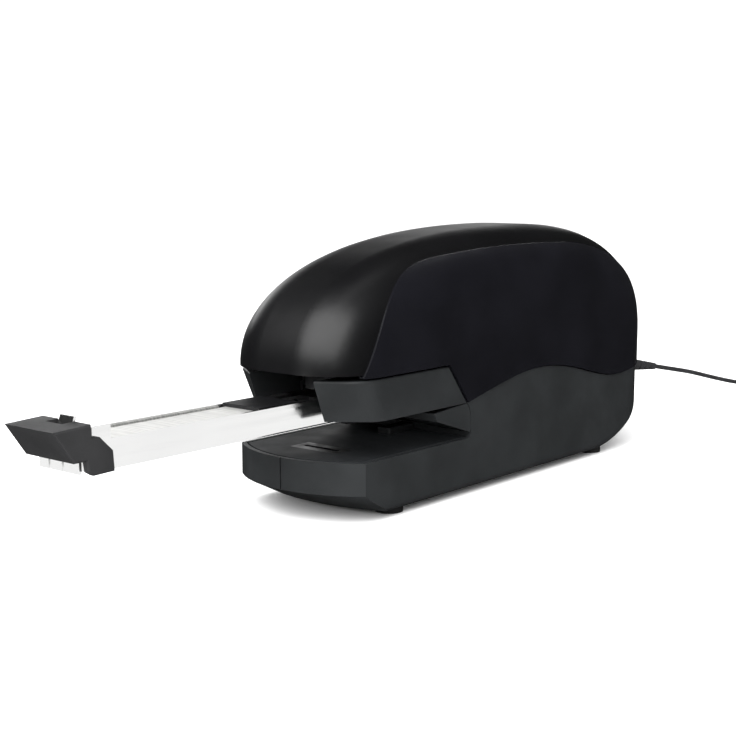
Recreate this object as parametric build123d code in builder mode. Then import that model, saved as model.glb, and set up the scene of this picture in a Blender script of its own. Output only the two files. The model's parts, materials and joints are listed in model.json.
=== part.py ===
from build123d import *
from math import atan2, cos, pi, radians, sin, tan
import os

# Electric desktop stapler with a front-loading staple drawer, drawn open.
# Millimetres. +Z is up, +Y runs from the nose to the rear, and the origin is on the
# desk under the middle of the body. Right means +X.

# ---------------------------------------------------------------- driving dimensions
# Body
HALF_WIDTH = 24.75          # flat flanks of the body
SHOULDER = 18.0             # rounding of the body's long edges
FLOOR_Z = 2.0               # underside of the base, above the desk
NOSE_Y = -91.0              # front of the hood
REAR_Y = 86.6               # rear wall
HEEL = 22.0                 # rounding of the rear wall into the underside
HOOD_FOOT = (NOSE_Y, 43.0)  # hood's front lower edge
HOOD_TOP = (14.8, 82.3)     # highest point of the crown line
HOOD_END = (REAR_Y, 42.0)   # where the crown line meets the rear wall
NOSE_PULL = 34.0            # how far each end of the crown's two curves holds its direction
FRONT_PULL = 45.5
BACK_PULL = 44.4
TAIL_PULL = 30.5
PULL_GROWTH = 0.55          # share by which those pulls grow with an outward move
HOOD_WALL = 2.0
PANEL_PROUD = 0.6           # side panels stand this far out of the body
PANEL_WALL = 1.4            # and reach this far in
SHUT_LINE = 0.15            # half the gap between neighbouring covers

# Base and jaw
TABLE_Z = 18.0              # paper table on top of the jaw
JAW_FRONT = (-89.2, -80.2)  # Y of the curved front in the middle and at the flanks
JAW_FOOT = (-74.5, -69.0)   # the same at the floor, under the rising underside
JAW_EDGE_Z = 8.5            # where that underside meets the upright front
HEEL_START_Y = 46.0         # the underside rises from here to the rear wall
HEEL_END_Z = 30.5
UNDER_ROUND = 2.0           # rounding of the base's lower edge
BASE_WALL = 2.6
TABLE_THICK = 1.4
TABLE_LIP = 1.4             # width of the rim round the table plate
TABLE_GROOVE = 0.5
THROAT_END_Y = -29.4        # end wall of the paper throat
GROOVE = 0.5                # parting groove down the jaw's front
ANVIL_HALF = (9.0, 4.0)     # half length and half depth of the anvil
JACK_HOLE_R = 5.6
SEAM = [(-31.5, 29.2), (-14, 33), (7, 35.8), (31, 33.2), (57, 27.9), (78, 30), (92, 33)]

# Nose frame: two cheeks with the drawer opening between them
CHEEK_FOOT_Z = 29.2
CHEEK_TOP_Z = 41.5
CHEEK_ROUND = 7.0           # rounding of their outer front edges
GUIDE_CLEAR_HALF = 10.2     # room for the head between the fixed pieces
OPENING_HALF = 12.65

# Fasteners and chassis inside the body
PLATE_X = (18.2, 19.4)      # X span of the right chassis plate; the left one mirrors it
PLATE_FIT = 0.02            # radial clearance of shafts fixed in the plates
SHAFT_R = 2.0               # head and lever shafts
STUD_R = 1.5                # gear studs
BOARD_Z = 8.0               # underside of the circuit board
BOARD_POSTS = [(-10, 4), (10, 4), (-10, 38), (10, 38)]
SCREWS = [(-15.5, -14), (15.5, -14), (-15.5, 36), (15.5, 36)]
SCREW_HEAD_R = 2.7
SCREW_R = 1.25
FOOT_R = 4.15
FEET = [(-18.5, -62), (18.5, -62), (-18.5, 52), (18.5, 52), (0, 0)]

# Staple drawer
CHANNEL_HALF = 8.25
CHANNEL_WALL = 0.8
CHANNEL_FOOT_Z = 27.2
CHANNEL_TOP_Z = 35.0
LUG_TOP_Z = 38.5            # raised front ends of the channel's walls
STAPLE_WIRE = 0.5
STAPLE_HALF = 6.35          # half the staple's crown
STAPLE_TOP_Z = 34.4
STRIP_FRONT_Y = -157.0      # first staple, drawer open
STRIP_LENGTH = 52.0
PUSHER_LENGTH = 17.0
RAIL_HALF = 5.7
RAIL_TOP_Z = 33.8
RAIL_END_Y = -74.5

# Head and driver
BLADE_Y = -71.3             # driver blade's middle, over the anvil
BLADE_THICK = 0.45
BLADE_HALF = 6.15
BLADE_FOOT_Z = 35.6
BLADE_TOP_Z = 54.8
DRIVER_TOP_Z = 59.8
GUIDE_TOP_Z = 44.0          # top of the block that guides the driver
HEAD_PIVOT = (52.0, 31.5)   # (Y, Z)
LEVER_PIVOT = (-18.0, 60.5)
DRIVER_PIN = (BLADE_Y, 56.5)
LINK_PIN = (8.2, 66.0)
CRANK_AXIS = (8.2, 56.5)
CRANK_THROW = 3.55
PIN_R = 1.5
RUNNING_FIT = 0.05          # radial clearance of pins in their holes

# Gear train
MODULE = 0.8
PINION_TEETH = 12
IDLER_1_TEETH = 40
IDLER_2_TEETH = 36
CRANK_TEETH = 42
GEAR_LINE = (-16, 15, -15)  # directions from the crank to idler 2, idler 1 and the motor
PLANE_A = (14.0, 17.0)      # X span of the motor's pinion and the first wheel
PLANE_B = (10.0, 13.5)      # first pinion and second wheel
PLANE_C = (5.5, 9.5)        # second pinion and crank wheel
MOTOR_R = 11.5

# Power lead: 1.5 m long, most of it wound up
CORD_D = 1.8
JACK_Z = 24.5
RELIEF_START = (0, 106, 24.3)
LEAD = [(0, 134, 20.2), (0.3, 148, 17.6), (0.2, 166.6, 14.2), (-0.4, 186, 9.8),
        (-0.7, 212, 4.2), (-2.0, 232, 1.1), (-4.6, 246, 0.95), (-7.0, 258, 1.05)]
COIL_MID_R = 12.4
COIL_BAND = (8.4, 8.0)      # width and height of the wound bundle
COIL_CENTRE = (5.0, 268.0)
TIE_AT = -50.0              # place of the coil's tie, in degrees round from +X
TIE_WALL = 0.5
TAIL = [(-9.6, 271, 6.3), (-8.4, 283, 6.2), (-8, 294, 5.7)]
CASE_X = (-22, 6)
CASE_Y = (301, 335)
CASE_TOP_Z = 24.0

os.makedirs("parts", exist_ok=True)


def save(piece, name):
    """Label a finished piece and write it to its own file."""
    piece.part.label = name
    export_step(piece.part, f"parts/{name}.step")


def block(x, y, z, mode=Mode.ADD):
    """Axis-aligned block between the given (low, high) pairs."""
    with BuildSketch(Plane.XY.offset(z[0])) as plan:
        with Locations(((x[0] + x[1]) / 2, (y[0] + y[1]) / 2)):
            Rectangle(x[1] - x[0], y[1] - y[0])
    extrude(plan.sketch, amount=z[1] - z[0], mode=mode)


def rod(centre, radius, x, mode=Mode.ADD):
    """Round bar along X: centre is (Y, Z), x is its (low, high) span."""
    with BuildSketch(Plane.YZ.offset(x[0])) as section:
        with Locations(centre):
            Circle(radius)
    extrude(section.sketch, amount=x[1] - x[0], mode=mode)


def lengthwise(centre, radius, y, mode=Mode.ADD):
    """Round bar along Y: centre is (X, Z), y is its (low, high) span."""
    with BuildSketch(Plane.XZ.offset(-y[0])) as section:
        with Locations(centre):
            Circle(radius)
    extrude(section.sketch, amount=y[0] - y[1], mode=mode)


def upright(centres, radius, z, mode=Mode.ADD):
    """Round bars along Z: centres are (X, Y) points, z is their (low, high) span."""
    with BuildSketch(Plane.XY.offset(z[0])) as section:
        with Locations(*centres):
            Circle(radius)
    extrude(section.sketch, amount=z[1] - z[0], mode=mode)


def side_prism(points, x, mode=Mode.ADD):
    """Straight-sided outline in the YZ plane, extruded over the X span."""
    with BuildSketch(Plane.YZ.offset(x[0])) as side:
        Polygon(*points, align=None)
    extrude(side.sketch, amount=x[1] - x[0], mode=mode)


# ---------------------------------------------------------------- body forms
def body_form(grow):
    """The rounded form of the hood and rear body, moved outward by grow."""
    foot = (NOSE_Y - grow, HOOD_FOOT[1])
    top = (HOOD_TOP[0], HOOD_TOP[1] + grow)
    end = (REAR_Y + grow, HOOD_END[1])
    floor, heel = FLOOR_Z - grow, HEEL + grow
    pull = PULL_GROWTH * grow
    with BuildPart() as form:
        with BuildSketch(Plane.YZ):
            with BuildLine():
                Bezier(foot, (foot[0], foot[1] + NOSE_PULL + pull),
                       (top[0] - FRONT_PULL - pull, top[1]), top)
                Bezier(top, (top[0] + BACK_PULL + pull, top[1]),
                       (end[0], end[1] + TAIL_PULL + pull), end)
                Line(end, (end[0], floor + heel))
                TangentArc((end[0], floor + heel), (end[0] - heel, floor), tangent=(0, -1))
                Line((end[0] - heel, floor), (foot[0] + heel, floor))
                TangentArc((foot[0] + heel, floor), (foot[0], floor + heel), tangent=(-1, 0))
                Line((foot[0], floor + heel), foot)
            make_face()
        extrude(amount=HALF_WIDTH + grow, both=True)
        fillet(form.faces().filter_by(Axis.X).edges(), radius=SHOULDER + grow)
    return form.part


def base_outline(grow):
    """Plan of the base: curved jaw front with crisp corners, flat flanks, round rear corners."""
    with BuildSketch() as plan:
        with BuildLine():
            TangentArc((0, JAW_FRONT[0]), (HALF_WIDTH, JAW_FRONT[1]), tangent=(1, 0))
            Line((HALF_WIDTH, JAW_FRONT[1]), (HALF_WIDTH, REAR_Y - SHOULDER))
            TangentArc((HALF_WIDTH, REAR_Y - SHOULDER), (HALF_WIDTH - SHOULDER, REAR_Y),
                       tangent=(0, 1))
            Line((HALF_WIDTH - SHOULDER, REAR_Y), (0, REAR_Y))
            mirror(about=Plane.YZ)
        make_face()
        if grow:
            offset(amount=grow, kind=Kind.INTERSECTION)
    return plan.sketch


def front_circle(front):
    """Radius and centre Y of the circle through a jaw front's middle and its two flank ends."""
    rise = front[1] - front[0]
    radius = (HALF_WIDTH ** 2 + rise ** 2) / (2 * rise)
    return radius, front[0] + radius


def jaw_undercut(grow):
    """What the jaw's rising underside leaves free in front of and below it."""
    with BuildPart() as free:
        block((-50, 50), (-110, JAW_FOOT[0] + 20), (FLOOR_Z - grow - 1, JAW_EDGE_Z))
        with BuildPart(mode=Mode.SUBTRACT):
            for front, z in ((JAW_FOOT, FLOOR_Z - grow), (JAW_FRONT, JAW_EDGE_Z)):
                radius, centre_y = front_circle(front)
                with BuildSketch(Plane.XY.offset(z)):
                    with Locations((0, centre_y)):
                        Circle(radius + grow)
            loft(ruled=True)
    return free.part


def base_form(grow):
    """Base and jaw as one block with its rising heel, moved outward by grow."""
    floor, rear, pull = FLOOR_Z - grow, REAR_Y + grow, PULL_GROWTH * grow
    with BuildPart() as form:
        with BuildSketch(Plane.XY.offset(floor)):
            add(base_outline(grow))
        extrude(amount=50)
        add(jaw_undercut(grow), mode=Mode.SUBTRACT)
        with BuildSketch(Plane.YZ):
            with BuildLine():
                Bezier((HEEL_START_Y, floor), (HEEL_START_Y + 18 + pull, floor),
                       (rear - 4.6, HEEL_END_Z - 18.5 - pull), (rear, HEEL_END_Z))
                Polyline((rear, HEEL_END_Z), (rear, 60), (-100, 60), (-100, floor),
                         (HEEL_START_Y, floor))
            make_face()
        extrude(amount=60, both=True, mode=Mode.INTERSECT)
    return form.part


OUTER = body_form(0)
OUTER_INSIDE = body_form(-HOOD_WALL)

# ---------------------------------------------------------------- covers
with BuildPart() as base_shell:
    add(base_form(0))
    rim = base_shell.edges().filter_by(lambda e: -40 < e.center().Y < 84 and e.center().Z < 28)
    fillet(rim.filter_by(lambda e: abs(e.center().X) > 8), radius=UNDER_ROUND)
    add(base_form(-BASE_WALL), mode=Mode.SUBTRACT)
    with BuildSketch(Plane.YZ):                     # keep what lies under the seam
        with BuildLine():
            Spline(*SEAM)
            Polyline(SEAM[-1], (92, -5), (-95, -5), (-95, TABLE_Z), (THROAT_END_Y - 1.6, TABLE_Z))
            TangentArc((THROAT_END_Y - 1.6, TABLE_Z), (THROAT_END_Y, TABLE_Z + 1.6), tangent=(1, 0))
            Line((THROAT_END_Y, TABLE_Z + 1.6), (THROAT_END_Y, 24))
            TangentArc((THROAT_END_Y, 24), SEAM[0], tangent=(0, 1))
        make_face()
    extrude(amount=60, both=True, mode=Mode.INTERSECT)
    with BuildSketch(Plane.XY.offset(TABLE_Z - TABLE_THICK)):   # rebate for the table plate
        add(base_outline(-TABLE_LIP))
        with Locations((0, 50)):
            Rectangle(80, 2 * (50 - THROAT_END_Y), mode=Mode.SUBTRACT)
    extrude(amount=10, mode=Mode.SUBTRACT)
    block((-22.4, 22.4), (THROAT_END_Y, THROAT_END_Y + 2), (4, 28.5))   # throat's end wall
    block((-10.4, 10.4), (THROAT_END_Y - 1, THROAT_END_Y + 3), (20.2, 30), mode=Mode.SUBTRACT)
    block((-16.2, -11.8), (THROAT_END_Y - 1, THROAT_END_Y + 3), (18.6, 27.5), mode=Mode.SUBTRACT)
    lengthwise((0, JACK_Z), JACK_HOLE_R, (REAR_Y - 12, REAR_Y + 1), mode=Mode.SUBTRACT)
    block((-GROOVE / 2, GROOVE / 2), (JAW_FRONT[0] - 1, JAW_FRONT[0] + GROOVE), (8, TABLE_Z + 1),
          mode=Mode.SUBTRACT)
    upright(BOARD_POSTS, 2, (FLOOR_Z + BASE_WALL - 0.2, BOARD_Z))
    upright(SCREWS, SCREW_HEAD_R + 0.3, (FLOOR_Z - 1, FLOOR_Z + 1.3), mode=Mode.SUBTRACT)
    upright(SCREWS, SCREW_R + 0.1, (FLOOR_Z - 1, 6), mode=Mode.SUBTRACT)
save(base_shell, "base_shell")

with BuildPart() as table_plate:
    with BuildSketch(Plane.XY.offset(TABLE_Z - TABLE_THICK)):
        add(base_outline(-TABLE_LIP - TABLE_GROOVE))
        with Locations((0, 50)):
            Rectangle(80, 2 * (50 - THROAT_END_Y + 0.1), mode=Mode.SUBTRACT)
        with Locations((0, BLADE_Y)):
            Rectangle(2 * ANVIL_HALF[0], 2 * ANVIL_HALF[1], mode=Mode.SUBTRACT)
    extrude(amount=TABLE_THICK)
    fillet(table_plate.faces().sort_by(Axis.Z)[-1].outer_wire().edges(), radius=0.25)
save(table_plate, "table_plate")

with BuildPart() as anvil:
    block((-ANVIL_HALF[0], ANVIL_HALF[0]), (BLADE_Y - ANVIL_HALF[1], BLADE_Y + ANVIL_HALF[1]),
          (TABLE_Z - 3.4, TABLE_Z))
    for side in (-1, 1):                            # the two grooves that curl the legs inward
        with BuildSketch(Plane.XY.offset(TABLE_Z)):
            with Locations((side * STAPLE_HALF / 2, BLADE_Y)):
                SlotOverall(STAPLE_HALF + 0.8, 1.8)
        extrude(amount=-0.8, mode=Mode.SUBTRACT)
save(anvil, "anvil")

with BuildPart() as depth_stop:                     # low slider that sets the paper's depth
    block((-2.5, 2.5), (-42.5, THROAT_END_Y - 0.2), (TABLE_Z, TABLE_Z + 2.1))
    fillet(depth_stop.edges().filter_by(Axis.Z), radius=0.8)
    fillet(depth_stop.faces().sort_by(Axis.Z)[-1].edges(), radius=0.4)
save(depth_stop, "depth_stop")


def paper_stop(side):
    """Wedge that closes the throat beside the drawer's guide; side is -1 left, 1 right."""
    with BuildPart() as stop:
        with BuildSketch(Plane.YZ.offset(side * GUIDE_CLEAR_HALF)):
            with BuildLine():
                Polyline((THROAT_END_Y - 2.3, CHEEK_FOOT_Z - SHUT_LINE), (-48.2, 27.9),
                         (-46.6, 25.3), (THROAT_END_Y - 0.5, 19.8), (THROAT_END_Y - SHUT_LINE, 20.6),
                         (THROAT_END_Y - SHUT_LINE, 24))
                TangentArc((THROAT_END_Y - SHUT_LINE, 24),
                           (THROAT_END_Y - 2.3, CHEEK_FOOT_Z - SHUT_LINE), tangent=(0, 1))
            make_face()
        extrude(amount=side * (HALF_WIDTH - 0.1 - GUIDE_CLEAR_HALF))
        if side < 0:                                # slot for the paper trigger
            block((-16.2, -11.8), (-50, -29), (10, 26.6), mode=Mode.SUBTRACT)
    return stop


save(paper_stop(-1), "left_paper_stop")
save(paper_stop(1), "right_paper_stop")

with BuildPart() as nose_frame:
    with BuildSketch(Plane.XY.offset(CHEEK_FOOT_Z)):
        Polygon((OPENING_HALF, -84.1), (HALF_WIDTH, -74.3), (HALF_WIDTH, -20), (OPENING_HALF, -20),
                align=None)
    with BuildSketch(Plane.XY.offset(CHEEK_TOP_Z)):
        Polygon((OPENING_HALF, -88.9), (HALF_WIDTH, -80.6), (HALF_WIDTH, -20), (OPENING_HALF, -20),
                align=None)
    loft(ruled=True)
    side_prism([(-41.8, 42), (-31.8, 29), (-15, 29), (-15, 42)], (0, 30), mode=Mode.SUBTRACT)
    corner = nose_frame.edges().filter_by(lambda e: e.center().X > 24.7 and e.center().Y < -76)
    fillet(corner.filter_by(lambda e: CHEEK_FOOT_Z + 1 < e.center().Z < CHEEK_TOP_Z - 1),
           radius=CHEEK_ROUND)
    rim = nose_frame.faces().sort_by(Axis.Z)[-1].edges()
    fillet(rim.filter_by(lambda e: e.center().X > OPENING_HALF + 1 and e.center().Y < -43),
           radius=0.6)
    with BuildSketch(Plane.XY.offset(CHEEK_TOP_Z)):             # pocket, hidden by the hood
        Polygon((14.9, -80.5), (22.4, -74.4), (22.4, -46), (14.9, -46), align=None)
    extrude(amount=2 - (CHEEK_TOP_Z - CHEEK_FOOT_Z), mode=Mode.SUBTRACT)
    mirror(about=Plane.YZ)
    block((-OPENING_HALF - 0.5, OPENING_HALF + 0.5), (-58, -46), (39.2, 41.2))
save(nose_frame, "nose_frame")

with BuildPart() as panel_zone:                     # the part of each flank that a panel covers
    with BuildSketch(Plane.YZ.offset(15)):
        with BuildLine():
            Bezier((-79.8, 42.6), (-72, 58), (-64, 71.8), (-42, 74.2))
            Bezier((-42, 74.2), (-18, 76.8), (8, 76.9), (28, 76.2))
            Bezier((28, 76.2), (62, 75), (REAR_Y - 6, 62), (REAR_Y - 6, 42))
            Line((REAR_Y - 6, 42), (REAR_Y - 6, SEAM[-2][1]))
            Line((REAR_Y - 6, SEAM[-2][1]), (REAR_Y - 6, 20))
            Polyline((REAR_Y - 6, 20), (-20, 20), (-79.8, 20), (-79.8, 42.6))
        make_face()
    extrude(amount=15)
    raised_seam = [(y, z + 2 * SHUT_LINE) for y, z in SEAM]
    with BuildSketch(Plane.YZ):                         # less the base and the nose frame
        with BuildLine():
            Spline(*raised_seam)
            Polyline(raised_seam[-1], (92, -5), (-95, -5), (-95, CHEEK_TOP_Z + 0.6),
                     (-41.4, CHEEK_TOP_Z + 0.6), raised_seam[0])
        make_face()
    extrude(amount=60, mode=Mode.SUBTRACT)

with BuildPart() as hood:
    add(OUTER)
    add(OUTER_INSIDE, mode=Mode.SUBTRACT)
    with BuildSketch(Plane.YZ):                     # keep what lies above the nose and the base
        with BuildLine():
            Polyline((-100, HOOD_FOOT[1]), (-30, HOOD_FOOT[1]), (24, 38), (77, 34), (77, 30.2),
                     (92, 33.4), (92, 100), (-100, 100), (-100, HOOD_FOOT[1]))
        make_face()
    extrude(amount=60, both=True, mode=Mode.INTERSECT)
    add(panel_zone.part, mode=Mode.SUBTRACT)
    add(panel_zone.part.mirror(Plane.YZ), mode=Mode.SUBTRACT)
save(hood, "hood")

with BuildPart() as right_panel:
    add(body_form(PANEL_PROUD))
    add(body_form(-PANEL_WALL), mode=Mode.SUBTRACT)
    add(panel_zone.part, mode=Mode.INTERSECT)
save(right_panel, "right_side_panel")
with BuildPart() as left_panel:
    add(right_panel.part.mirror(Plane.YZ))
save(left_panel, "left_side_panel")

with BuildPart() as rubber_feet:
    upright(FEET, FOOT_R, (0, 6))
    add(base_form(0), mode=Mode.SUBTRACT)
save(rubber_feet, "rubber_feet")

with BuildPart() as cover_screws:                       # they hold the chassis to the base
    upright(SCREWS, SCREW_HEAD_R, (FLOOR_Z + 0.3, FLOOR_Z + 1.3))
    upright(SCREWS, SCREW_R, (FLOOR_Z + 1.3, 8))
    with Locations([(x, y, FLOOR_Z + 0.3) for x, y in SCREWS]):
        Box(3, 0.7, 0.8, align=(Align.CENTER, Align.CENTER, Align.CENTER), mode=Mode.SUBTRACT)
        Box(0.7, 3, 0.8, align=(Align.CENTER, Align.CENTER, Align.CENTER), mode=Mode.SUBTRACT)
save(cover_screws, "cover_screws")

# ---------------------------------------------------------------- gear train places


def step_from(start, direction, teeth_a, teeth_b):
    """Centre of a gear that meshes with one at start, in the given direction in degrees."""
    distance = MODULE * (teeth_a + teeth_b) / 2
    return (start[0] + distance * cos(radians(direction)),
            start[1] + distance * sin(radians(direction)))


IDLER_2_AXIS = step_from(CRANK_AXIS, GEAR_LINE[0], CRANK_TEETH, PINION_TEETH)
IDLER_1_AXIS = step_from(IDLER_2_AXIS, GEAR_LINE[1], IDLER_2_TEETH, PINION_TEETH)
MOTOR_AXIS = step_from(IDLER_1_AXIS, GEAR_LINE[2], IDLER_1_TEETH, PINION_TEETH)
CRANK_PIN = (CRANK_AXIS[0], CRANK_AXIS[1] - CRANK_THROW)
TRIGGER_PIVOT = (-22.0, 27.5)
for name, axis in (("idler 2", IDLER_2_AXIS), ("idler 1", IDLER_1_AXIS), ("motor", MOTOR_AXIS)):
    print(f"{name} axis at Y {axis[0]:.4f} Z {axis[1]:.4f}")

# ---------------------------------------------------------------- chassis


def chassis_plate(side):
    """Steel side plate with shaft holes and two screw feet; side is -1 left, 1 right."""
    low, high = sorted((side * PLATE_X[0], side * PLATE_X[1]))
    inner = side * (SCREWS[1][0] - 3)
    with BuildPart() as plate:
        side_prism([(-24, 4.8), (44, 4.8), (62, 22), (72, 36), (70, 57), (57, 64), (-8, 69),
                    (-40, 63), (-62, 54), (-62, CHEEK_TOP_Z), (-26, CHEEK_TOP_Z), (-24, 39)],
                   (low, high))
        for y in (SCREWS[0][1], SCREWS[2][1]):
            block(sorted((inner, side * PLATE_X[0])), (y - 4, y + 4), (4.8, 6.0))
        upright([(side * SCREWS[1][0], y) for y in (SCREWS[0][1], SCREWS[2][1])],
                SCREW_R + PLATE_FIT, (4, 7), mode=Mode.SUBTRACT)
        for centre in (HEAD_PIVOT, LEVER_PIVOT):
            rod(centre, SHAFT_R + PLATE_FIT, (low - 1, high + 1), mode=Mode.SUBTRACT)
        if side > 0:
            for centre in (CRANK_AXIS, IDLER_2_AXIS, IDLER_1_AXIS):
                rod(centre, STUD_R + PLATE_FIT, (low - 1, high + 1), mode=Mode.SUBTRACT)
        else:
            rod(TRIGGER_PIVOT, 1 + PLATE_FIT, (low - 1, high + 1), mode=Mode.SUBTRACT)
    return plate


save(chassis_plate(1), "chassis_right")
save(chassis_plate(-1), "chassis_left")

with BuildPart() as head_shaft:
    rod(HEAD_PIVOT, SHAFT_R, (-PLATE_X[1], PLATE_X[1]))
    chamfer(head_shaft.edges().filter_by(GeomType.CIRCLE), length=0.4)
save(head_shaft, "head_shaft")
with BuildPart() as lever_shaft:
    rod(LEVER_PIVOT, SHAFT_R, (-PLATE_X[1], PLATE_X[1]))
    chamfer(lever_shaft.edges().filter_by(GeomType.CIRCLE), length=0.4)
save(lever_shaft, "lever_shaft")

with BuildPart() as gear_studs:
    for centre in (CRANK_AXIS, IDLER_2_AXIS):
        rod(centre, STUD_R, (PLANE_C[0] - 0.3, PLATE_X[1]))
    rod(IDLER_1_AXIS, STUD_R, (PLANE_B[0] - 0.3, PLATE_X[1]))
save(gear_studs, "gear_studs")

with BuildPart() as head_return_spring:                 # torsion spring beside the head
    helix_line = Helix(pitch=1.0, height=6.5, radius=SHAFT_R + 1.0, center=(-17.4, 52, 31.5),
                       direction=(1, 0, 0))
    with BuildSketch(Plane(origin=helix_line @ 0, z_dir=helix_line % 0)):
        Circle(0.4)
    sweep(path=helix_line)
save(head_return_spring, "head_return_spring")

# ---------------------------------------------------------------- motor
with BuildPart() as motor_can:
    rod(MOTOR_AXIS, MOTOR_R, (-16.0, 10.4))
    for x in (-16.0, 10.4):
        rim = motor_can.edges().filter_by(GeomType.CIRCLE)
        fillet(rim.filter_by(lambda e: abs(e.center().X - x) < 0.1), radius=1.0)
    rod(MOTOR_AXIS, 3.0, (-18.0, -16.0))
save(motor_can, "motor_can")

with BuildPart() as motor_bracket:
    side_prism([(56, 38), (79.5, 38), (79.5, 54), (73.5, 61.5), (56, 61.5)], (10.4, 11.9))
    rod(MOTOR_AXIS, 3.2, (10, 12.5), mode=Mode.SUBTRACT)
    for spacer in ((71, 40.5), (69, 58.5)):
        rod(spacer, 2.0, (11.9, PLATE_X[0]))
save(motor_bracket, "motor_bracket")

# ---------------------------------------------------------------- switch, board and jack
with BuildPart() as trigger_pin:
    rod(TRIGGER_PIVOT, 1.0, (-PLATE_X[1], -12.0))
save(trigger_pin, "trigger_pin")

with BuildPart() as trigger_switch:
    block((-PLATE_X[0], -11.0), (-20, -6), (30.6, 36.6))
    upright([(-14.5, -14)], 0.8, (29.6, 30.6))
    for y in (-18, -13, -8):                            # solder tags
        block((-15.0, -14.2), (y - 0.8, y + 0.8), (36.6, 39.6))
save(trigger_switch, "trigger_switch")

with BuildPart() as circuit_board:
    block((-12.5, 12.5), (0, 42), (BOARD_Z, BOARD_Z + 1.6))
save(circuit_board, "circuit_board")
with BuildPart() as board_parts:                        # the larger parts soldered to the board
    block((-9, -3), (8, 14), (BOARD_Z + 1.6, BOARD_Z + 3.4))
    block((3, 9), (24, 36), (BOARD_Z + 1.6, BOARD_Z + 6.6))
    upright([(6, 12), (-6, 28)], 3.2, (BOARD_Z + 1.6, BOARD_Z + 9.6))
save(board_parts, "board_parts")

with BuildPart() as dc_jack:
    block((-4.9, 4.9), (68, 76), (JACK_Z - 5.1, JACK_Z + 5.1))
    lengthwise((0, JACK_Z), JACK_HOLE_R - 0.3, (76, 84.8))
    lengthwise((0, JACK_Z), 2.8, (74, 85), mode=Mode.SUBTRACT)
save(dc_jack, "dc_jack")
with BuildPart() as jack_bracket:
    block((-PLATE_X[0], PLATE_X[0]), (66.6, 68), (18.4, 36))
save(jack_bracket, "jack_bracket")

# ---------------------------------------------------------------- staple drawer
CHANNEL_FRONT_Y = -163.5
CHANNEL_REAR_Y = -38.0
EXIT_Y = (-157.65, STRIP_FRONT_Y)       # slot where a staple leaves the drawer
with BuildPart() as magazine_channel:
    block((-CHANNEL_HALF, CHANNEL_HALF), (CHANNEL_FRONT_Y, CHANNEL_REAR_Y),
          (CHANNEL_FOOT_Z, CHANNEL_TOP_Z))
    fillet(magazine_channel.edges().filter_by(Axis.Y).group_by(Axis.Z)[0], radius=0.6)
    block((-CHANNEL_HALF + CHANNEL_WALL, CHANNEL_HALF - CHANNEL_WALL),
          (CHANNEL_FRONT_Y - 1, CHANNEL_REAR_Y - 1), (CHANNEL_FOOT_Z + CHANNEL_WALL, 40),
          mode=Mode.SUBTRACT)
    for x in ((-CHANNEL_HALF, -CHANNEL_HALF + CHANNEL_WALL),
              (CHANNEL_HALF - CHANNEL_WALL, CHANNEL_HALF)):             # raised front ends
        block(x, (CHANNEL_FRONT_Y, EXIT_Y[0]), (CHANNEL_FOOT_Z + 2, LUG_TOP_Z))
    for gap in (EXIT_Y, (BLADE_Y - 1.9, BLADE_Y + 1.9)):
        block((-BLADE_HALF - 0.55, BLADE_HALF + 0.55), gap, (27, 28.2), mode=Mode.SUBTRACT)
save(magazine_channel, "magazine_channel")

with BuildPart() as magazine_nose:
    block((-CHANNEL_HALF + CHANNEL_WALL, CHANNEL_HALF - CHANNEL_WALL),
          (CHANNEL_FRONT_Y, EXIT_Y[0]), (CHANNEL_FOOT_Z + CHANNEL_WALL, CHANNEL_TOP_Z))
    fillet(magazine_nose.edges().filter_by(Axis.X).group_by(Axis.Z)[-1], radius=0.5)
save(magazine_nose, "magazine_nose")

with BuildPart() as staple_rail:
    block((-RAIL_HALF, RAIL_HALF), (STRIP_FRONT_Y + 0.1, RAIL_END_Y), (28.0, RAIL_TOP_Z))
    block((-RAIL_HALF + 0.8, RAIL_HALF - 0.8), (STRIP_FRONT_Y + 0.9, RAIL_END_Y - 0.8),
          (27, RAIL_TOP_Z - 0.8), mode=Mode.SUBTRACT)
    block((-1.25, 1.25), (STRIP_FRONT_Y + 1.6, RAIL_END_Y - 1), (33, 34), mode=Mode.SUBTRACT)
save(staple_rail, "staple_rail")

with BuildPart() as pusher_rod:
    lengthwise((0, 31), 1.0, (STRIP_FRONT_Y + 0.9, RAIL_END_Y - 0.8))
save(pusher_rod, "pusher_rod")

PUSHER_FRONT_Y = STRIP_FRONT_Y + STRIP_LENGTH + 0.1
PUSHER_REAR_Y = PUSHER_FRONT_Y + PUSHER_LENGTH
with BuildPart() as staple_strip:                       # one stick of staples over the rail
    block((-STAPLE_HALF, STAPLE_HALF), (STRIP_FRONT_Y, STRIP_FRONT_Y + STRIP_LENGTH),
          (28.3, STAPLE_TOP_Z))
    fillet(staple_strip.edges().filter_by(Axis.Y).group_by(Axis.Z)[-1], radius=0.4)
    block((-STAPLE_HALF + STAPLE_WIRE, STAPLE_HALF - STAPLE_WIRE), (-158, -100),
          (27, STAPLE_TOP_Z - STAPLE_WIRE), mode=Mode.SUBTRACT)
save(staple_strip, "staple_strip")

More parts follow.
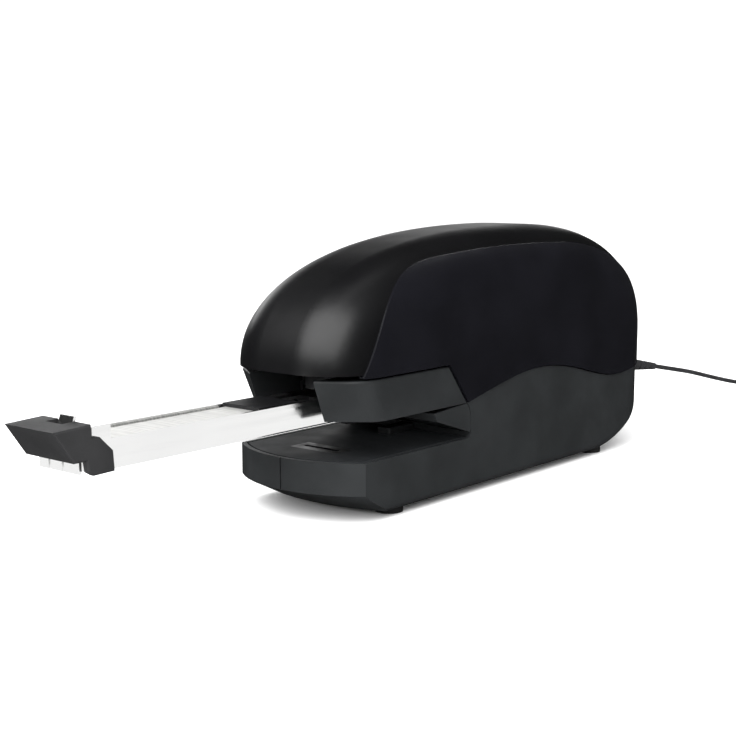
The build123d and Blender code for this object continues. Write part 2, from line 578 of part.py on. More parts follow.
with BuildPart() as pusher:
    side_prism([(PUSHER_FRONT_Y, 28.2), (PUSHER_REAR_Y, 28.2), (PUSHER_REAR_Y, 34.0),
                (PUSHER_REAR_Y - 2, 35.4), (PUSHER_FRONT_Y, 35.4)], (-7.2, 7.2))
    block((-RAIL_HALF - 0.1, RAIL_HALF + 0.1), (PUSHER_FRONT_Y - 1, PUSHER_REAR_Y + 1),
          (27, RAIL_TOP_Z + 0.1), mode=Mode.SUBTRACT)
    block((-1.1, 1.1), (PUSHER_FRONT_Y, PUSHER_REAR_Y), (31, 34.5))
    lengthwise((0, 31), 2.2, (PUSHER_FRONT_Y, PUSHER_REAR_Y))
    lengthwise((0, 31), 1.06, (PUSHER_FRONT_Y - 1, PUSHER_REAR_Y + 1), mode=Mode.SUBTRACT)
save(pusher, "pusher")

with BuildPart() as pusher_spring:                      # wound round the rod, behind the pusher
    lengthwise((0, 31), 1.75, (PUSHER_REAR_Y + 0.1, RAIL_END_Y - 1.0))
    lengthwise((0, 31), 1.2, (PUSHER_REAR_Y, RAIL_END_Y), mode=Mode.SUBTRACT)
save(pusher_spring, "pusher_spring")

LATCH_PIVOT = (-166.9, 32.8)
HANDLE_TOP = [(-176, 39.2), (-164.6, 39.7), (-164.4, 36.6), (-162, 36.2)]
with BuildPart() as magazine_handle:
    side_prism(HANDLE_TOP + [(-158, 32.3), (-157.6, 27.1), (-164.2, 26.9), (-166, 28),
                             (-166.4, 30.8), (-170, 30.8)], (-9.8, 9.8))
    chamfer(magazine_handle.faces().filter_by(Axis.X).edges(), length=0.45)
    block((-CHANNEL_HALF, CHANNEL_HALF), (CHANNEL_FRONT_Y - 0.1, -156), (26, 37),
          mode=Mode.SUBTRACT)
    block((-8.1, 8.1), (-168.6, -162), (26, 34.8), mode=Mode.SUBTRACT)      # room for the latch
    block((-3.2, 3.2), (-168.4, -162), (34, 41), mode=Mode.SUBTRACT)
    rod(LATCH_PIVOT, 0.75 + PLATE_FIT, (-8.9, 8.9), mode=Mode.SUBTRACT)
save(magazine_handle, "magazine_handle")
with BuildPart() as latch_pin:
    rod(LATCH_PIVOT, 0.75, (-8.8, 8.8))
save(latch_pin, "latch_pin")

with BuildPart() as latch_lever:                        # pinched at the top to free the drawer
    block((-7.8, 7.8), (-167.3, -166.5), (27.4, 33.4))
    rod(LATCH_PIVOT, 1.5, (-7.8, 7.8))
    side_prism([(-167.3, 33.4), (-166.3, 33.4), (-163.5, 40.8), (-164.4, 40.8)], (-2.7, 2.7))
    rod(LATCH_PIVOT, 0.75 + RUNNING_FIT, (-8, 8), mode=Mode.SUBTRACT)
    for x in (-3.6, 1.6):                               # two slots leave three tabs
        block((x - 0.4, x + 0.4), (-168, -166), (27, 30.6), mode=Mode.SUBTRACT)
save(latch_lever, "latch_lever")

# ---------------------------------------------------------------- head and driver
GUIDE_HALF = 9.4
with BuildPart() as magazine_guide:                     # channel that the drawer slides in
    block((-GUIDE_HALF, GUIDE_HALF), (-70.4, 56.5), (26.2, 37.3))
    block((-CHANNEL_HALF - 0.1, CHANNEL_HALF + 0.1), (-71, 57), (27.1, 36.3), mode=Mode.SUBTRACT)
    block((-6.9, 6.9), (-71, 57), (26, 28), mode=Mode.SUBTRACT)
    rod(HEAD_PIVOT, SHAFT_R + RUNNING_FIT, (-10, 10), mode=Mode.SUBTRACT)
save(magazine_guide, "magazine_guide")

SPRING_SEAT = (0, -66.2)
with BuildPart() as driver_guide:
    block((-8.6, 8.6), (-70.9, -62), (37.3, GUIDE_TOP_Z))
    chamfer(driver_guide.edges().filter_by(Axis.Z), length=0.8)
    upright([SPRING_SEAT], 3.0, (38.3, 45), mode=Mode.SUBTRACT)
save(driver_guide, "driver_guide")

with BuildPart() as driver_spring:
    upright([SPRING_SEAT], 2.5, (38.3, 53.2))
    upright([SPRING_SEAT], 1.9, (38, 54), mode=Mode.SUBTRACT)
save(driver_spring, "driver_spring")

with BuildPart() as driver_blade:
    block((-BLADE_HALF, BLADE_HALF), (BLADE_Y - BLADE_THICK / 2, BLADE_Y + BLADE_THICK / 2),
          (BLADE_FOOT_Z, BLADE_TOP_Z))
save(driver_blade, "driver_blade")
with BuildPart() as driver_block:
    block((-5.6, 5.6), (-74, -63.5), (53.2, DRIVER_TOP_Z))
    chamfer(driver_block.edges().filter_by(Axis.Z), length=0.6)
    block((-BLADE_HALF, BLADE_HALF), (BLADE_Y - BLADE_THICK / 2, BLADE_Y + BLADE_THICK / 2),
          (50, BLADE_TOP_Z), mode=Mode.SUBTRACT)
    rod(DRIVER_PIN, PIN_R, (-7, 7), mode=Mode.SUBTRACT)
save(driver_block, "driver_block")

with BuildPart() as driver_pin:
    rod(DRIVER_PIN, PIN_R, (-9.3, 9.3))
    chamfer(driver_pin.edges().filter_by(GeomType.CIRCLE), length=0.3)
save(driver_pin, "driver_pin")

# ---------------------------------------------------------------- drive lever and link
ARM_FALL = atan2(LEVER_PIVOT[1] - DRIVER_PIN[1], LEVER_PIVOT[0] - DRIVER_PIN[0])


def on_arm(radius, up):
    """Point on the lever's front arm, up mm above the line from its pivot to the driver pin."""
    return (LEVER_PIVOT[0] - radius * cos(ARM_FALL) - up * sin(ARM_FALL),
            LEVER_PIVOT[1] - radius * sin(ARM_FALL) + up * cos(ARM_FALL))


def arm_bar(radii, half_height, x, mode=Mode.ADD):
    """Bar along the lever's front arm between two radii from its pivot."""
    side_prism([on_arm(radii[0], -half_height), on_arm(radii[1], -half_height),
                on_arm(radii[1], half_height), on_arm(radii[0], half_height)], x, mode=mode)


def strap(start, start_r, end, end_r, x, mode=Mode.ADD):
    """Flat link with round ends, tapering between two centres."""
    with BuildSketch(Plane.YZ.offset(x[0])) as outline:
        with Locations(start):
            Circle(start_r)
        with Locations(end):
            Circle(end_r)
        make_hull()
    extrude(outline.sketch, amount=x[1] - x[0], mode=mode)


with BuildPart() as drive_lever:
    strap(LEVER_PIVOT, 4, LINK_PIN, 3.2, (-4.5, -1.5))
    strap(LEVER_PIVOT, 4, on_arm(41, 0), 3, (-4.5, -1.5))
    rod(LEVER_PIVOT, 4, (-6, 3))
    arm_bar((39, 43), 3.1, (-8.8, 8.8))
    for x in ((-8.8, -6.6), (6.6, 8.8)):                # fork that straddles the driver pin
        arm_bar((40, 59.3), 3.1, x)
        rod(on_arm(52.2, 0), 1.85, x, mode=Mode.SUBTRACT)
        arm_bar((52.2, 60), 1.85, x, mode=Mode.SUBTRACT)
    rod(LEVER_PIVOT, SHAFT_R + RUNNING_FIT, (-10, 10), mode=Mode.SUBTRACT)
    rod(LINK_PIN, PIN_R + PLATE_FIT, (-5, 0), mode=Mode.SUBTRACT)
save(drive_lever, "drive_lever")

with BuildPart() as link_pin:
    rod(LINK_PIN, PIN_R, (-4.8, 2.4))
save(link_pin, "link_pin")

with BuildPart() as crank_link:
    strap(LINK_PIN, 2.8, CRANK_PIN, 2.8, (-1.2, 1.8))
    for centre in (LINK_PIN, CRANK_PIN):
        rod(centre, PIN_R + RUNNING_FIT, (-2, 3), mode=Mode.SUBTRACT)
save(crank_link, "crank_link")

# ---------------------------------------------------------------- gears
TOOTH_HALF = (0.80, 0.51, 0.27)         # half thickness at root, pitch circle and tip


def toothed_disc(axis, teeth, phase, x):
    """Spur gear disc with straight-flanked stub teeth; phase is one tooth's direction."""
    pitch_r = MODULE * teeth / 2
    root_r, tip_r = pitch_r - MODULE, pitch_r + 0.8 * MODULE
    root, mid, tip = TOOTH_HALF
    with BuildSketch(Plane.YZ.offset(x[0])) as disc:
        with Locations(axis):
            Circle(root_r)
            with PolarLocations(0, teeth, start_angle=phase):
                Polygon((root_r - 0.3, -root), (root_r, -root), (pitch_r, -mid), (tip_r, -tip),
                        (tip_r, tip), (pitch_r, mid), (root_r, root), (root_r - 0.3, root),
                        align=None)
    extrude(disc.sketch, amount=x[1] - x[0])


def gap_facing(direction, teeth):
    """Phase of a gear whose tooth gap faces back along a direction of the train."""
    return direction + 180 + 180 / teeth


with BuildPart() as crank_gear:
    toothed_disc(CRANK_AXIS, CRANK_TEETH, GEAR_LINE[0], PLANE_C)
    rod(CRANK_AXIS, 4, (PLANE_C[1], PLATE_X[0] - 0.3))
    rod(CRANK_AXIS, STUD_R + RUNNING_FIT, (0, 20), mode=Mode.SUBTRACT)
    with BuildSketch(Plane.YZ.offset(PLANE_C[0])) as windows:
        with Locations(CRANK_AXIS):
            with PolarLocations(10.6, 5, start_angle=18):
                Circle(3.2)
    extrude(windows.sketch, amount=5, mode=Mode.SUBTRACT)
save(crank_gear, "crank_gear")
with BuildPart() as crank_pin:
    rod(CRANK_PIN, PIN_R, (PLANE_C[0] - 3.4, PLANE_C[0]))
save(crank_pin, "crank_pin")

with BuildPart() as idler_gear_2:
    toothed_disc(IDLER_2_AXIS, PINION_TEETH, gap_facing(GEAR_LINE[0], PINION_TEETH), PLANE_C)
    rod(IDLER_2_AXIS, 3.6, (PLANE_C[1], PLANE_B[0]))
    toothed_disc(IDLER_2_AXIS, IDLER_2_TEETH, GEAR_LINE[1], PLANE_B)
    rod(IDLER_2_AXIS, STUD_R + RUNNING_FIT, (0, 20), mode=Mode.SUBTRACT)
save(idler_gear_2, "idler_gear_2")

with BuildPart() as idler_gear_1:
    toothed_disc(IDLER_1_AXIS, PINION_TEETH, gap_facing(GEAR_LINE[1], PINION_TEETH), PLANE_B)
    rod(IDLER_1_AXIS, 3.6, (PLANE_B[1], PLANE_A[0]))
    toothed_disc(IDLER_1_AXIS, IDLER_1_TEETH, GEAR_LINE[2], PLANE_A)
    rod(IDLER_1_AXIS, STUD_R + RUNNING_FIT, (0, 20), mode=Mode.SUBTRACT)
save(idler_gear_1, "idler_gear_1")

with BuildPart() as motor_pinion:
    toothed_disc(MOTOR_AXIS, PINION_TEETH, gap_facing(GEAR_LINE[2], PINION_TEETH), PLANE_A)
    rod(MOTOR_AXIS, 1.0 + PLATE_FIT, (10, 20), mode=Mode.SUBTRACT)
save(motor_pinion, "motor_pinion")
with BuildPart() as motor_shaft:
    rod(MOTOR_AXIS, 1.0, (10.5, PLANE_A[1] + 0.3))
save(motor_shaft, "motor_shaft")

# ---------------------------------------------------------------- paper trigger
with BuildPart() as trigger_lever:
    strap(TRIGGER_PIVOT, 2.4, (-34.5, 21.2), 1.2, (-15, -13))
    strap(TRIGGER_PIVOT, 2.4, (-14.5, 26.4), 1.2, (-15, -13))
    rod(TRIGGER_PIVOT, 1 + RUNNING_FIT, (-16, -12), mode=Mode.SUBTRACT)
save(trigger_lever, "trigger_lever")

# ---------------------------------------------------------------- power lead
relief_axis = Vector(*LEAD[0]) - Vector(*RELIEF_START)
relief_plane = Plane(origin=RELIEF_START, x_dir=(1, 0, 0), z_dir=relief_axis)
with BuildPart() as power_plug:                         # moulded plug and its bend relief
    lengthwise((0, JACK_Z), 4.4, (85.1, 101))
    fillet(power_plug.edges().filter_by(GeomType.CIRCLE), radius=0.8)
    with BuildSketch(Plane.XZ.offset(-101)):
        with Locations((0, JACK_Z)):
            Circle(3.9)
    with BuildSketch(Plane.XZ.offset(-106)):
        with Locations((0, RELIEF_START[2])):
            Circle(2.9)
    loft()
    with BuildSketch(relief_plane.offset(-0.4)):
        Circle(2.85)
    with BuildSketch(relief_plane.offset(relief_axis.length)):
        Circle(CORD_D / 2 + 0.45)
    loft()
    for step in range(5):                               # grooves that let the relief bend
        with BuildSketch(relief_plane.offset(4 + 4.4 * step)) as groove:
            Circle(4)
            Circle(2.2 - 0.24 * step, mode=Mode.SUBTRACT)
        extrude(groove.sketch, amount=1.2, mode=Mode.SUBTRACT)
    lengthwise((0, JACK_Z), 2.6, (77, 86))
save(power_plug, "power_plug")


def bend_radii(route):
    """Radius at each corner of a route: 0.45 of the shorter run over tan(half the turn)."""
    corners = []
    for before, corner, after in zip(route, route[1:], route[2:]):
        arrive = Vector(*corner) - Vector(*before)
        leave = Vector(*after) - Vector(*corner)
        half_turn = radians(arrive.get_angle(leave)) / 2
        corners.append(0.45 * min(arrive.length, leave.length) / tan(half_turn))
    return corners


def cord_tube(route, name):
    """Round cord along straight runs joined by tangent arcs."""
    radii = bend_radii(route)
    with BuildPart() as cord:
        with BuildLine() as path:
            FilletPolyline(*route, radius=radii)
        with BuildSketch(Plane(origin=path.line @ 0, z_dir=path.line % 0)):
            Circle(CORD_D / 2)
        sweep()
    length = path.wires()[0].length
    print(f"{name} length {length:.1f}, radii", [round(r, 1) for r in radii],
          f"volume {cord.part.volume:.1f} of {pi * (CORD_D / 2) ** 2 * length:.1f}")
    return cord


save(cord_tube(LEAD, "cord_lead"), "cord_lead")
save(cord_tube(TAIL, "cord_tail"), "cord_tail")

coil_axis = Axis((*COIL_CENTRE, 0), (0, 0, 1))
with BuildPart() as cord_coil:                          # outer shape of the wound length
    with BuildSketch(Plane(origin=(*COIL_CENTRE, 0), x_dir=(1, 0, 0), z_dir=(0, -1, 0))):
        with Locations((COIL_MID_R, COIL_BAND[1] / 2)):
            RectangleRounded(*COIL_BAND, 2.4)
    revolve(axis=coil_axis)
save(cord_coil, "cord_coil")

tie_out = Vector(cos(radians(TIE_AT)), sin(radians(TIE_AT)), 0)
tie_plane = Plane(origin=Vector(*COIL_CENTRE, 0) + tie_out * COIL_MID_R, x_dir=tie_out,
                  z_dir=(-tie_out.Y, tie_out.X, 0))
tie_hole = (COIL_BAND[0] + 1.5, COIL_BAND[1])
with BuildPart() as cord_tie:
    with BuildSketch(tie_plane):
        with Locations((0, -tie_hole[1] / 2 - TIE_WALL)):
            RectangleRounded(tie_hole[0] + 2 * TIE_WALL, tie_hole[1] + 2 * TIE_WALL, 2.7)
            RectangleRounded(*tie_hole, 2.2, mode=Mode.SUBTRACT)
    extrude(amount=2, both=True)
save(cord_tie, "cord_tie")

with BuildPart() as adapter_case:
    block(CASE_X, CASE_Y, (0, CASE_TOP_Z))
    fillet(adapter_case.edges().filter_by(Axis.Y), radius=4)
    fillet(adapter_case.faces().filter_by(Axis.Y).edges(), radius=1.5)
    with BuildSketch(Plane.XZ.offset(-TAIL[-1][1])):
        with Locations((TAIL[-1][0], TAIL[-1][2])):
            Circle(CORD_D / 2 + 0.4)
    with BuildSketch(Plane.XZ.offset(-CASE_Y[0] - 1)):
        with Locations((TAIL[-1][0], TAIL[-1][2] + 0.6)):
            Circle(2.8)
    loft()
save(adapter_case, "adapter_case")

with BuildPart() as adapter_pins:                       # two round mains pins
    for x in (-9.5, 9.5):
        lengthwise(((CASE_X[0] + CASE_X[1]) / 2 + x, 12), 2.0, (CASE_Y[1], CASE_Y[1] + 18))
    fillet(adapter_pins.edges().filter_by(GeomType.CIRCLE).group_by(Axis.Y)[-1], radius=0.9)
save(adapter_pins, "adapter_pins")
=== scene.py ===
import json
from math import cos, pi, radians, sin

import bmesh
import bpy
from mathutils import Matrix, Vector


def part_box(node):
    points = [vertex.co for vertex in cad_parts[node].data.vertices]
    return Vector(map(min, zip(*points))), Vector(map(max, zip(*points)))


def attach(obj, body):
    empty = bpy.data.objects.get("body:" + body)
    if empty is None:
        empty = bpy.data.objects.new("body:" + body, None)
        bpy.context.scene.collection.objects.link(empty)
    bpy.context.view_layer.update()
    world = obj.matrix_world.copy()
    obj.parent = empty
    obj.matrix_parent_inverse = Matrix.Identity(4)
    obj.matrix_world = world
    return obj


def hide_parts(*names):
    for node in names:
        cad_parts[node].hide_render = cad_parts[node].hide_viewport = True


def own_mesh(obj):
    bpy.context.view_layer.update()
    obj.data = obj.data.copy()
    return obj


# Looks of an electric desktop stapler with its staple drawer open: camera and light, the
# power lead, the finishes, and the pieces whose CAD solids are only outer shapes.
# Lengths of the object are in millimetres and times MM; the studio is in metres.

MM = 0.001
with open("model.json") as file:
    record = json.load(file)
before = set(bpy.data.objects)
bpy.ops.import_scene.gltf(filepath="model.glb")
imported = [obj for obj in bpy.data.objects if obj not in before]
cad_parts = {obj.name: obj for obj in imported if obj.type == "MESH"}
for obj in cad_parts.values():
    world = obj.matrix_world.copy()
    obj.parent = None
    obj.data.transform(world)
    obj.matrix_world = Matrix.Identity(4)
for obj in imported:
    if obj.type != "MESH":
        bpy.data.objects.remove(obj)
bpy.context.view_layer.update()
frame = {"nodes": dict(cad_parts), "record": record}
nodes = frame["nodes"]
scene = bpy.context.scene

# ---------------------------------------------------------------- camera
AZIMUTH, DROP = radians(40), radians(8.25)      # the view turns to the left and looks down
CAMERA_AT = (0.2675, -0.3685, 0.1001)
LENS, SENSOR = 66.6, 36                         # millimetres


def add_camera():
    """Three-quarter view from the right of the nose, a little above the table."""
    data = bpy.data.cameras.new("camera")
    data.lens = LENS
    data.sensor_width = SENSOR
    data.clip_start = 0.01
    camera = bpy.data.objects.new("camera", data)
    scene.collection.objects.link(camera)
    look = Vector((-sin(AZIMUTH) * cos(DROP), cos(AZIMUTH) * cos(DROP), -sin(DROP)))
    camera.location = CAMERA_AT
    camera.rotation_euler = look.to_track_quat("-Z", "Y").to_euler()
    scene.camera = camera


add_camera()

# ---------------------------------------------------------------- node material helpers


class Finish:
    """Builds one procedural material around a Principled shader."""

    def __init__(self, name, color, roughness, metallic=0.0, specular=0.5):
        self.material = bpy.data.materials.new(name)
        self.material.use_nodes = True
        self.tree = self.material.node_tree
        self.shader = self.tree.nodes["Principled BSDF"]
        self.shader.inputs["Base Color"].default_value = (*color, 1)
        self.shader.inputs["Roughness"].default_value = roughness
        self.shader.inputs["Metallic"].default_value = metallic
        self.shader.inputs["Specular IOR Level"].default_value = specular
        self.place = self.tree.nodes.new("ShaderNodeTexCoord").outputs["Object"]
        self.normal = None

    def node(self, kind):
        return self.tree.nodes.new(kind)

    def link(self, source, target):
        self.tree.links.new(source, target)

    def stretched(self, scale):
        """Object coordinates, scaled per axis."""
        mapping = self.node("ShaderNodeMapping")
        mapping.inputs["Scale"].default_value = scale
        self.link(self.place, mapping.inputs["Vector"])
        return mapping.outputs["Vector"]

    def noise(self, scale, detail=3.0, stretch=(1, 1, 1)):
        """Noise with scale cells to the metre; a low stretch draws it out along that axis."""
        texture = self.node("ShaderNodeTexNoise")
        texture.inputs["Scale"].default_value = scale
        texture.inputs["Detail"].default_value = detail
        self.link(self.stretched(stretch), texture.inputs["Vector"])
        return texture.outputs["Fac"]

    def remap(self, source, low, high, start=0.3, end=0.7):
        """Turns start to end into low to high."""
        ramp = self.node("ShaderNodeMapRange")
        ramp.inputs["From Min"].default_value = start
        ramp.inputs["From Max"].default_value = end
        ramp.inputs["To Min"].default_value = low
        ramp.inputs["To Max"].default_value = high
        self.link(source, ramp.inputs["Value"])
        return ramp.outputs["Result"]

    def vary_color(self, source, color_a, color_b, start=0.35, end=0.65):
        """Base colour between two tones."""
        ramp = self.node("ShaderNodeValToRGB")
        low, high = ramp.color_ramp.elements
        low.position, high.position = start, end
        low.color, high.color = (*color_a, 1), (*color_b, 1)
        self.link(source, ramp.inputs["Fac"])
        self.link(ramp.outputs["Color"], self.shader.inputs["Base Color"])

    def vary_roughness(self, source, low, high, start=0.3, end=0.7):
        self.link(self.remap(source, low, high, start, end), self.shader.inputs["Roughness"])

    def bump(self, source, distance, strength=1.0):
        """Adds a height layer; layers stack in the order they are added."""
        relief = self.node("ShaderNodeBump")
        relief.inputs["Distance"].default_value = distance
        relief.inputs["Strength"].default_value = strength
        self.link(source, relief.inputs["Height"])
        if self.normal is not None:
            self.link(self.normal, relief.inputs["Normal"])
        self.normal = relief.outputs["Normal"]
        self.link(self.normal, self.shader.inputs["Normal"])


def scaled(color, factor):
    """The same hue, darker or lighter."""
    return tuple(channel * factor for channel in color)


def gloss_moulding(name, color, roughness, specular):
    """Polished ABS: faint orange peel, slight haze and a few handling marks."""
    made = Finish(name, color, roughness, specular=specular)
    made.vary_color(made.noise(40), scaled(color, 0.85), scaled(color, 1.2))
    made.vary_roughness(made.noise(55, 5), roughness * 0.88, roughness * 1.15)
    made.bump(made.noise(420, 2), 0.00002, 0.5)
    made.bump(made.noise(60, 6, (1, 14, 1)), 0.000012, 0.35)
    return made.material


def satin_moulding(name, color, roughness, specular, grain=2600):
    """Spark-eroded texture of a satin moulding, with soft patches of wear."""
    made = Finish(name, color, roughness, specular=specular)
    made.vary_color(made.noise(70, 4), scaled(color, 0.88), scaled(color, 1.14))
    made.vary_roughness(made.noise(110, 4), roughness * 0.86, roughness * 1.14)
    made.bump(made.noise(grain, 2), 0.00005, 0.55)
    made.bump(made.noise(grain / 6, 3), 0.00004, 0.25)
    return made.material


def bright_sheet(name, color, roughness, streak=(1, 0.03, 1)):
    """Plated sheet steel: rolling streaks along its length and fine scratches."""
    made = Finish(name, color, roughness, metallic=1.0)
    made.vary_color(made.noise(30, 3), scaled(color, 0.96), color)
    made.vary_roughness(made.noise(900, 4, streak), roughness * 0.6, roughness * 1.5)
    made.bump(made.noise(1400, 3, streak), 0.000015, 0.35)
    made.bump(made.noise(25, 2), 0.00006, 0.12)
    return made.material


def machined_steel(name, color, roughness):
    """Zinc plated steel: cloudy tone and fine directionless grain."""
    made = Finish(name, color, roughness, metallic=1.0)
    made.vary_color(made.noise(160, 5), scaled(color, 0.8), scaled(color, 1.1))
    made.vary_roughness(made.noise(300, 4), roughness * 0.75, roughness * 1.3)
    made.bump(made.noise(2200, 3), 0.00002, 0.4)
    return made.material


def soft_jacket(name, color, roughness, grain=1800):
    """Extruded or moulded soft vinyl and rubber."""
    made = Finish(name, color, roughness, specular=0.4)
    made.vary_color(made.noise(120, 4), scaled(color, 0.85), scaled(color, 1.2))
    made.vary_roughness(made.noise(200, 3), roughness * 0.85, roughness * 1.15)
    made.bump(made.noise(grain, 3), 0.00003, 0.5)
    return made.material


def staple_wire(name, color):
    """Glued staple wire: each wire a touch lighter or darker than the next."""
    made = Finish(name, color, 0.34, metallic=0.7)
    made.vary_color(made.noise(1500, 1, (0.02, 1, 0.02)), scaled(color, 0.8), scaled(color, 1.12))
    made.vary_roughness(made.noise(700, 3), 0.28, 0.42)
    made.bump(made.noise(2600, 2), 0.00001, 0.4)
    return made.material


def circuit_laminate(name, color):
    """Green solder mask with the faint relief of copper tracks."""
    made = Finish(name, color, 0.35)
    made.vary_color(made.noise(260, 1, (1, 0.25, 1)), color, scaled(color, 1.7), 0.48, 0.52)
    made.vary_roughness(made.noise(300, 3), 0.28, 0.45)
    made.bump(made.noise(260, 1, (1, 0.25, 1)), 0.00004, 0.4)
    return made.material


FINISHES = {
    "hood_gloss": gloss_moulding("hood_gloss", (0.0025, 0.0025, 0.003), 0.36, 0.42),
    "side_panel_gloss": gloss_moulding("side_panel_gloss", (0.0045, 0.0045, 0.006), 0.22, 0.22),
    "body_plastic": satin_moulding("body_plastic", (0.0185, 0.02, 0.021), 0.42, 0.2),
    "table_plastic": satin_moulding("table_plastic", (0.0125, 0.0135, 0.0145), 0.42, 0.04),
    "anvil_steel": machined_steel("anvil_steel", (0.05, 0.05, 0.052), 0.38),
    "handle_plastic": satin_moulding("handle_plastic", (0.024, 0.024, 0.025), 0.5, 0.2, 3200),
    "rubber": soft_jacket("rubber", (0.012, 0.012, 0.012), 0.7),
    "magazine_steel": bright_sheet("magazine_steel", (0.92, 0.92, 0.915), 0.15),
    "inner_steel": machined_steel("inner_steel", (0.25, 0.25, 0.26), 0.35),
    "staples": staple_wire("staples", (0.86, 0.86, 0.84)),
    "pusher_plastic": satin_moulding("pusher_plastic", (0.008, 0.008, 0.009), 0.4, 0.3),
    "gear_plastic": satin_moulding("gear_plastic", (0.62, 0.6, 0.55), 0.4, 0.5),
    "board": circuit_laminate("board", (0.01, 0.07, 0.03)),
    "jack_plastic": satin_moulding("jack_plastic", (0.012, 0.012, 0.013), 0.4, 0.4),
    "cord_jacket": soft_jacket("cord_jacket", (0.03, 0.03, 0.032), 0.45),
    "adapter_plastic": satin_moulding("adapter_plastic", (0.02, 0.02, 0.022), 0.45, 0.4),
    "pin_metal": bright_sheet("pin_metal", (0.8, 0.8, 0.78), 0.2),
}


def finish_cad_nodes():
    """Gives every CAD node the finish of its own material slot."""
    for part in frame["record"]["subparts"]:
        mesh_object = nodes[part["node"]]
        material = FINISHES[part["material_slot"]]
        if not mesh_object.material_slots:
            mesh_object.data.materials.append(material)
        for material_slot in mesh_object.material_slots:
            material_slot.material = material


finish_cad_nodes()

# ---------------------------------------------------------------- curve and mesh helpers


def nurbs_cord(name, points, radius, order=3):
    """Round tube along one open NURBS spline through the given control points, in metres."""
    curve = bpy.data.curves.new(name, "CURVE")
    curve.dimensions = "3D"
    curve.bevel_depth = radius
    curve.bevel_resolution = 4
    curve.resolution_u = 6
    curve.use_fill_caps = True
    spline = curve.splines.new("NURBS")
    spline.points.add(len(points) - 1)
    for spot, point in zip(spline.points, points):
        spot.co = (*point, 1)
    spline.order_u = order
    spline.use_endpoint_u = True
    made = bpy.data.objects.new(name, curve)
    scene.collection.objects.link(made)
    return made


def to_mesh(curve_object):
    """Replaces a curve object by a smooth-shaded mesh object of the same name."""
    depsgraph = bpy.context.evaluated_depsgraph_get()
    mesh = bpy.data.meshes.new_from_object(curve_object.evaluated_get(depsgraph))
    name = curve_object.name
    bpy.data.objects.remove(curve_object)
    made = bpy.data.objects.new(name, mesh)
    scene.collection.objects.link(made)
    mesh.shade_smooth()
    return made


def dress(piece, slot, body, *replaced):
    """Finish, material slot, body and the CAD nodes a piece stands for."""
    piece.data.materials.clear()
    piece.data.materials.append(FINISHES[slot])
    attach(piece, body)
    if replaced:
        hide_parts(*replaced)


# ---------------------------------------------------------------- power lead
CORD_D = 1.8
LEAD = [(0, 134, 20.2), (0.3, 148, 17.6), (0.2, 166.6, 14.2), (-0.4, 186, 9.8),
        (-0.7, 212, 4.2), (-2.0, 232, 1.1), (-4.6, 246, 0.95)]
TAIL = [(-9.0, 276, 6.8), (-8.4, 285, 6.2), (-8, 294, 5.7)]
COIL_CENTRE = (5.0, 268.0)
COIL_OUTER, COIL_INNER = 16.5, 8.8      # radii of the outermost and innermost turns
LAYERS, LAYER_RISE, FLOOR_GAP = 4, 1.88, 1.4
ENTER, LEAVE = 220, 172                 # directions from the centre, in degrees
CLIMB = 0.25                            # share of a turn in which it climbs to the next layer
WHOLE_TURNS = 17
POINTS_PER_TURN = 16


def coil_points():
    """Flat spiral layers, inward and outward in turn, wound clockwise from above."""
    turns = WHOLE_TURNS + (ENTER - LEAVE) / 360
    per_layer = (turns - CLIMB * (LAYERS - 1)) / LAYERS
    points = []
    for i in range(int(turns * POINTS_PER_TURN) + 1):
        at = i / POINTS_PER_TURN
        layer = min(int(at / (per_layer + CLIMB)), LAYERS - 1)
        along = at - layer * (per_layer + CLIMB)
        share = min(along / per_layer, 1)
        climbed = max(0, along - per_layer) / CLIMB
        inward = share if layer % 2 == 0 else 1 - share
        radius = COIL_OUTER + (COIL_INNER - COIL_OUTER) * inward
        rise = climbed * climbed * (3 - 2 * climbed)
        angle = radians(ENTER - 360 * at)
        points.append((COIL_CENTRE[0] + radius * cos(angle), COIL_CENTRE[1] + radius * sin(angle),
                       FLOOR_GAP + LAYER_RISE * (layer + rise)))
    return points


def add_power_lead():
    """The lead from the plug's relief to the coil and on to the adapter, as one spline."""
    route = LEAD + coil_points() + TAIL
    lead = nurbs_cord("power_lead", [Vector(p) * MM for p in route], CORD_D / 2 * MM)
    dress(lead, "cord_jacket", "housing", "cord_lead", "cord_tail", "cord_coil")


add_power_lead()

# ---------------------------------------------------------------- staples
STAPLE_PITCH = 0.5
STAPLE_WIRE = 0.44                      # width of a wire along the stick
WIRE_HEIGHT = 0.5                       # thickness of a wire across its bend
BEND, BEND_CUT = 0.5, 0.15              # outside corner and how far its middle is cut off
INNER_BEND = 0.62


